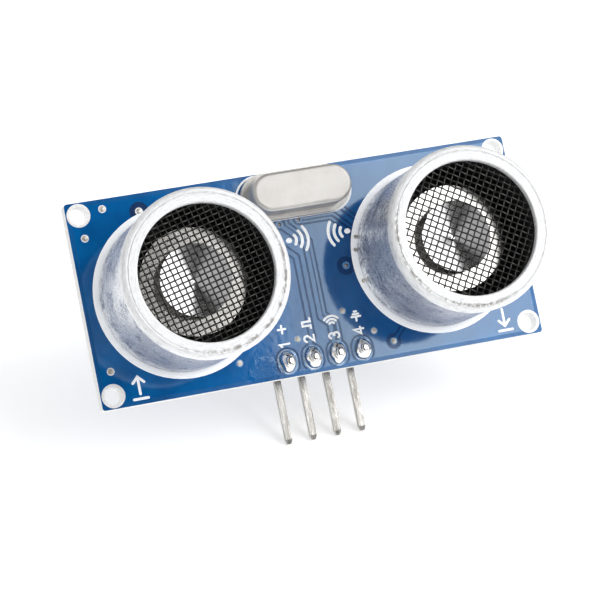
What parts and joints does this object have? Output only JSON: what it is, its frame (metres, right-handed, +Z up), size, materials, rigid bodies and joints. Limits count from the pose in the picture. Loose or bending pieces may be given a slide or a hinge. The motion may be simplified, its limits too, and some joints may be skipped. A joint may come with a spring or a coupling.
{
  "type": "ultrasonic distance sensor module",
  "caption": "Blue circuit board carrying a pair of round ultrasonic transducers with wire-mesh fronts, an oval crystal can and a right-angle pin header.",
  "frame": {"origin": "centre of the circuit board's front face, which is also the centre of the corner-hole pattern", "axes": "-Y is the way the transducers look, +Y is the component side at the back, +X is the receiver's side, +Z is up and the header pins point along -Z"},
  "size_m": [0.045, 0.0177, 0.026],
  "materials": {
    "solder_mask_board": "glass-fibre laminate under a glossy blue solder mask",
    "masked_copper": "copper under a glossy blue solder mask",
    "pad_solder": "flat tinned copper pads",
    "hole_plating": "tin-plated copper",
    "case_aluminium": "satin drawn aluminium with a lightly scuffed rim",
    "screen_wire": "dark woven wire cloth",
    "black_resin": "matt black moulded resin",
    "silicone": "soft translucent white silicone",
    "bender_metal": "nickel-plated brass disc",
    "piezo_ceramic": "fired ceramic with silvered faces",
    "cone_aluminium": "bright thin aluminium",
    "tinned_wire": "tinned wire",
    "crystal_nickel": "satin nickel-plated steel",
    "seal_glass": "glass seal",
    "quartz": "polished quartz",
    "header_plastic": "matt black moulded nylon",
    "pin_metal": "tin-plated brass",
    "solder": "bright wet-look solder",
    "chip_epoxy": "fine matt black epoxy",
    "chip_lead": "tin-plated lead frame",
    "resistor_glaze": "black glaze on ceramic",
    "capacitor_ceramic": "tan fired ceramic",
    "end_metal": "tinned ends"
  },
  "bodies": {
    "module": {"circuit_board": "solder_mask_board", "mounting_hole_plating": "hole_plating", "via_plating": "hole_plating", "front_copper": "masked_copper", "back_copper": "masked_copper", "solder_pads": "pad_solder", "transmitter_case": "case_aluminium", "transmitter_mesh_screen": "screen_wire", "transmitter_inner_sleeve": "black_resin", "transmitter_base_plate": "black_resin", "transmitter_support_ring": "silicone", "transmitter_terminals": "tinned_wire", "transmitter_lead_wires": "tinned_wire", "receiver_case": "case_aluminium", "receiver_mesh_screen": "screen_wire", "receiver_inner_sleeve": "black_resin", "receiver_base_plate": "black_resin", "receiver_support_ring": "silicone", "receiver_terminals": "tinned_wire", "receiver_lead_wires": "tinned_wire", "crystal_can": "crystal_nickel", "crystal_base": "crystal_nickel", "crystal_glass_seals": "seal_glass", "crystal_leads": "tinned_wire", "crystal_clips": "tinned_wire", "crystal_quartz_blank": "quartz", "header_body": "header_plastic", "header_pins": "pin_metal", "header_solder_joints": "solder", "transducer_solder_joints": "solder", "crystal_solder_joints": "solder", "driver_chip_body": "chip_epoxy", "driver_chip_leads": "chip_lead", "controller_chip_body": "chip_epoxy", "controller_chip_leads": "chip_lead", "amplifier_chip_body": "chip_epoxy", "amplifier_chip_leads": "chip_lead", "resistor_bodies": "resistor_glaze", "resistor_ends": "end_metal", "capacitor_bodies": "capacitor_ceramic", "capacitor_ends": "end_metal", "transistor_body": "chip_epoxy", "transistor_leads": "chip_lead"},
    "transmitter_vibrator": {"transmitter_radiator_cone": "cone_aluminium", "transmitter_bender_plate": "bender_metal", "transmitter_piezo_disc": "piezo_ceramic"},
    "receiver_vibrator": {"receiver_radiator_cone": "cone_aluminium", "receiver_bender_plate": "bender_metal", "receiver_piezo_disc": "piezo_ceramic"}
  },
  "joints": [
    {"name": "transmitter_vibration", "type": "slide", "parent": "module", "child": "transmitter_vibrator", "axis": [0, -1, 0], "range_m": [-0.00001, 0.00001]},
    {"name": "receiver_vibration", "type": "slide", "parent": "module", "child": "receiver_vibrator", "axis": [0, -1, 0], "range_m": [-0.00001, 0.00001]}
  ]
}
